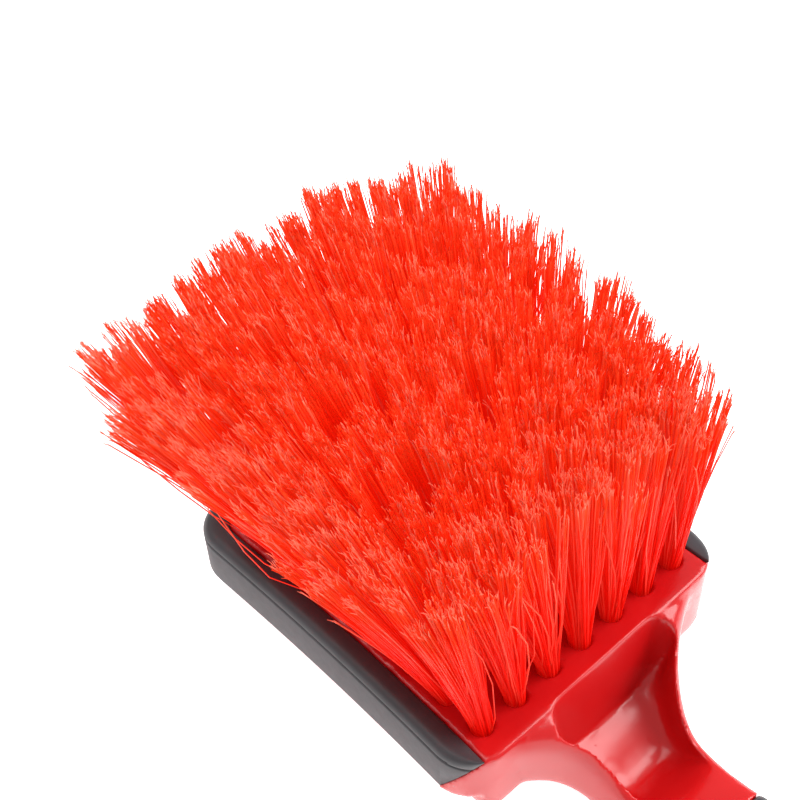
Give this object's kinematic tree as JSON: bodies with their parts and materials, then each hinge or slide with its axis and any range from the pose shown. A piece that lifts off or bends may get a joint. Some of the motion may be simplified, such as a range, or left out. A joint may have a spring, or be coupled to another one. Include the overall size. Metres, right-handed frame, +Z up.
{
  "type": "wheel brush",
  "caption": "Hand brush for cleaning car wheels: a rectangular head with dense fanned soft bristles, a soft bumper round its edge and a gripped handle.",
  "frame": {"origin": "centre of the bottom of the brush's bounding box, on the surface that it lies on with its bristles up", "axes": "+X along the handle, from the head to the hanging hole; +Z up, away from the flat back of the grip; +Y across the head. The bristle face is tilted 7 degrees about Y, so the bristles point up and a little towards -X"},
  "size_m": [0.2716, 0.1054, 0.0884],
  "materials": {
    "red_plastic": "gloss",
    "black_rubber": "satin",
    "bristle": "satin"
  },
  "bodies": {
    "root": {"brush_body": "red_plastic", "bumper": "black_rubber", "handle_grip": "black_rubber", "tuft_r1_c1": "bristle", "tuft_r1_c2": "bristle", "tuft_r1_c3": "bristle", "tuft_r1_c4": "bristle", "tuft_r1_c5": "bristle", "tuft_r1_c6": "bristle", "tuft_r1_c7": "bristle", "tuft_r2_c1": "bristle", "tuft_r2_c2": "bristle", "tuft_r2_c3": "bristle", "tuft_r2_c4": "bristle", "tuft_r2_c5": "bristle", "tuft_r2_c6": "bristle", "tuft_r2_c7": "bristle", "tuft_r3_c1": "bristle", "tuft_r3_c2": "bristle", "tuft_r3_c3": "bristle", "tuft_r3_c4": "bristle", "tuft_r3_c5": "bristle", "tuft_r3_c6": "bristle", "tuft_r3_c7": "bristle", "tuft_r4_c1": "bristle", "tuft_r4_c2": "bristle", "tuft_r4_c3": "bristle", "tuft_r4_c4": "bristle", "tuft_r4_c5": "bristle", "tuft_r4_c6": "bristle", "tuft_r4_c7": "bristle", "tuft_r5_c1": "bristle", "tuft_r5_c2": "bristle", "tuft_r5_c3": "bristle", "tuft_r5_c4": "bristle", "tuft_r5_c5": "bristle", "tuft_r5_c6": "bristle", "tuft_r5_c7": "bristle", "tuft_r6_c1": "bristle", "tuft_r6_c2": "bristle", "tuft_r6_c3": "bristle", "tuft_r6_c4": "bristle", "tuft_r6_c5": "bristle", "tuft_r6_c6": "bristle", "tuft_r6_c7": "bristle", "tuft_r7_c1": "bristle", "tuft_r7_c2": "bristle", "tuft_r7_c3": "bristle", "tuft_r7_c4": "bristle", "tuft_r7_c5": "bristle", "tuft_r7_c6": "bristle", "tuft_r7_c7": "bristle", "tuft_r8_c1": "bristle", "tuft_r8_c2": "bristle", "tuft_r8_c3": "bristle", "tuft_r8_c4": "bristle", "tuft_r8_c5": "bristle", "tuft_r8_c6": "bristle", "tuft_r8_c7": "bristle"}
  },
  "joints": []
}
